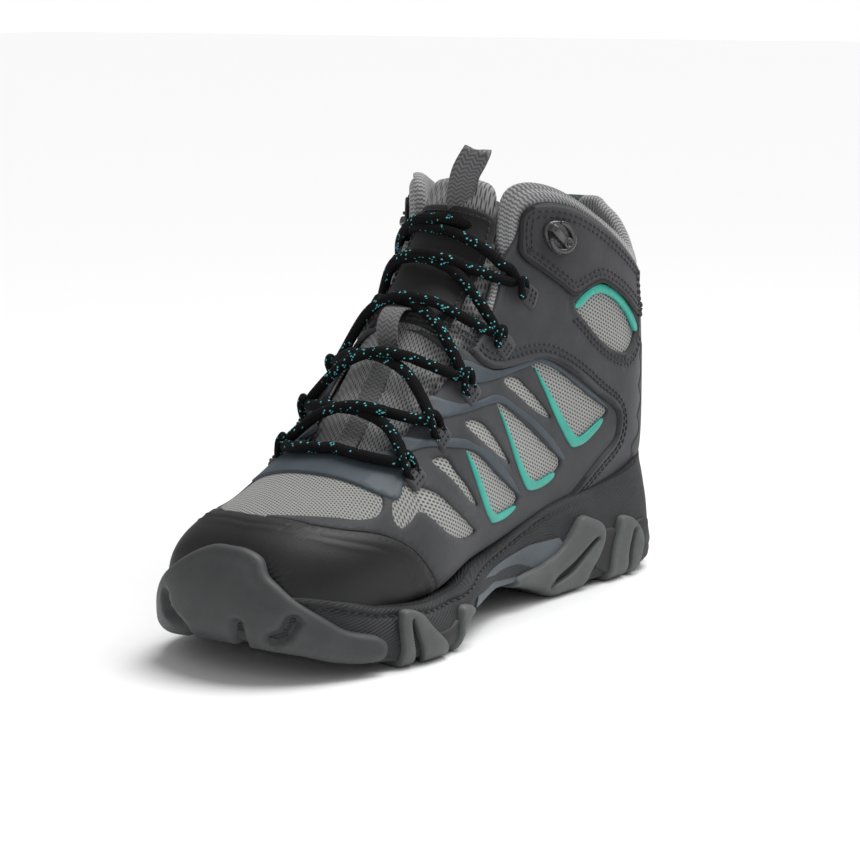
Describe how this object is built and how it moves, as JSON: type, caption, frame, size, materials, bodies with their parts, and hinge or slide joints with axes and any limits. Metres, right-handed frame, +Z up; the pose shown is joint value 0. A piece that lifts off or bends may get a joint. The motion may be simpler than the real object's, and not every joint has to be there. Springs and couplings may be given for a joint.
{
  "type": "hiking boot",
  "caption": "Mid-cut lace-up hiking boot for the right foot with mesh windows, padded collar, rubber toe bumper and forked grip lugs.",
  "frame": {"origin": "on the ground under the middle of the sole", "axes": "+Z up, toe towards -Y, heel towards +Y, inner (medial) side of the foot towards +X"},
  "size_m": [0.1199, 0.296, 0.217],
  "materials": {
    "nubuck_charcoal": "matte synthetic nubuck",
    "toe_black": "matte pebbled synthetic",
    "mesh_grey": "woven mesh with dark ribs",
    "film_blue_grey": "welded film",
    "trim_teal": "smooth film",
    "sole_black": "moulded foam with fine diagonal lines",
    "rubber_black": "matte rubber",
    "lug_grey": "matte rubber",
    "bumper_grey": "matte rubber",
    "shank_blue": "satin moulded plastic",
    "board": "fibre board",
    "stiffener": "thermoplastic sheet",
    "foam": "open-cell foam",
    "lining_grey": "ribbed textile",
    "footbed_grey": "brushed textile over foam",
    "tongue_mesh": "woven mesh",
    "patch_black": "matte synthetic",
    "webbing_grey": "zigzag webbing",
    "webbing_dark": "woven webbing",
    "lace_black": "braided cord with cyan flecks",
    "hook_black": "gloss black",
    "rivet_black": "black finish"
  },
  "bodies": {
    "root": {"midsole": "sole_black", "outsole_base": "rubber_black", "arch_shank": "shank_blue", "forefoot_lugs": "lug_grey", "heel_lugs": "lug_grey", "centre_tread": "lug_grey", "toe_bumper": "bumper_grey", "insole_board": "board", "vamp_mesh": "mesh_grey", "toe_cap": "toe_black", "throat_rand": "film_blue_grey", "heel_stay": "patch_black", "collar_roll": "lining_grey", "lace_ends": "lace_black", "hook_washers": "rivet_black", "lace_hooks": "hook_black", "hook_rivets": "rivet_black", "collar_foam_medial": "foam", "collar_foam_lateral": "foam", "quarter_mesh_medial": "mesh_grey", "quarter_mesh_lateral": "mesh_grey", "quarter_overlay_medial": "nubuck_charcoal", "quarter_overlay_lateral": "nubuck_charcoal", "ankle_overlay_medial": "nubuck_charcoal", "ankle_overlay_lateral": "nubuck_charcoal", "collar_patch_medial": "nubuck_charcoal", "collar_patch_lateral": "nubuck_charcoal", "gusset_medial": "lining_grey", "gusset_lateral": "lining_grey", "lace_loops_medial": "lace_black", "lace_loops_lateral": "lace_black", "film_strips_medial": "film_blue_grey", "film_strips_lateral": "film_blue_grey", "teal_trims_medial": "trim_teal", "teal_trims_lateral": "trim_teal", "toe_puff": "stiffener", "heel_counter": "stiffener", "lining": "lining_grey"},
    "tongue": {"tongue_face": "tongue_mesh", "tongue_foam": "foam", "tongue_lining": "lining_grey", "tongue_patch": "patch_black", "lace_keeper": "webbing_grey", "lace_rows": "lace_black"},
    "tongue_pull": {"tongue_pull_loop": "webbing_grey"},
    "heel_pull": {"heel_pull_loop": "webbing_dark"},
    "footbed": {"footbed": "footbed_grey"}
  },
  "joints": [
    {"name": "tongue_tilt", "type": "hinge", "parent": "root", "child": "tongue", "pos_m": [0, -0.064, 0.08], "axis": [1, 0, 0], "range_deg": [-8, 2], "deforming": ["lace_ends"]},
    {"name": "tongue_pull_fold", "type": "hinge", "parent": "tongue", "child": "tongue_pull", "pos_m": [0, 0.0293, 0.1905], "axis": [1, 0, 0], "range_deg": [0, 55]},
    {"name": "heel_pull_fold", "type": "hinge", "parent": "root", "child": "heel_pull", "pos_m": [0, 0.1395, 0.178], "axis": [1, 0, 0], "range_deg": [-40, 0]},
    {"name": "footbed_lift", "type": "hinge", "parent": "root", "child": "footbed", "pos_m": [0, -0.128, 0.03], "axis": [1, 0, 0], "range_deg": [0, 8]}
  ]
}
